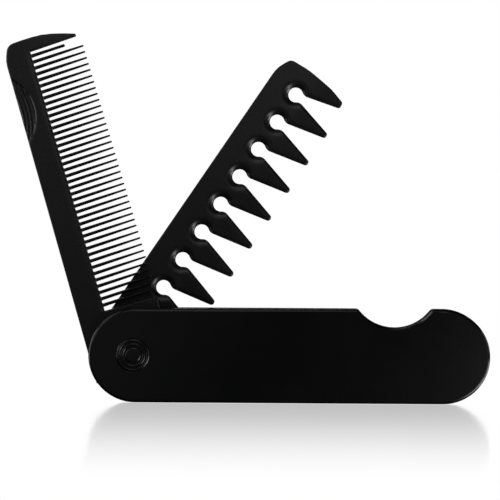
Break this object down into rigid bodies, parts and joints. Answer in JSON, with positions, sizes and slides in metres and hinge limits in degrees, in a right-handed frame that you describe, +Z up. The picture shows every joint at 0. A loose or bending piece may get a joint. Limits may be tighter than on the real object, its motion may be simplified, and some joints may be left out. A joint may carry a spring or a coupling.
{
  "type": "folding pocket comb",
  "caption": "Folding pocket comb: a fine blade and a wide blade swing out of a slim round-ended case about a ringed pivot, and fold back in by the thumb notch.",
  "frame": {"origin": "middle of the flat long edge that the case stands on", "axes": "+X along the case from the pivot's end to the notched end, +Y from the case's front side to its back side, +Z up"},
  "size_m": [0.1454, 0.012, 0.1105],
  "materials": {
    "case_plastic": "black moulded plastic with a satin surface",
    "blade_plastic": "black moulded plastic, satin, a little lighter than the case",
    "pin_plastic": "black moulded plastic with turned rings, smoother than the case"
  },
  "bodies": {
    "case": {"case_front": "case_plastic", "case_back": "case_plastic", "pivot_pin": "pin_plastic"},
    "fine_comb": {"fine_comb": "blade_plastic"},
    "wide_comb": {"wide_comb": "blade_plastic"}
  },
  "joints": [
    {"name": "fine_swing", "type": "hinge", "parent": "case", "child": "fine_comb", "pos_m": [-0.04675, 0, 0.0141], "axis": [0, -1, 0], "range_deg": [-106.1, 73.9]},
    {"name": "wide_swing", "type": "hinge", "parent": "case", "child": "wide_comb", "pos_m": [-0.04675, 0, 0.0141], "axis": [0, -1, 0], "range_deg": [-55.9, 124.1]}
  ]
}
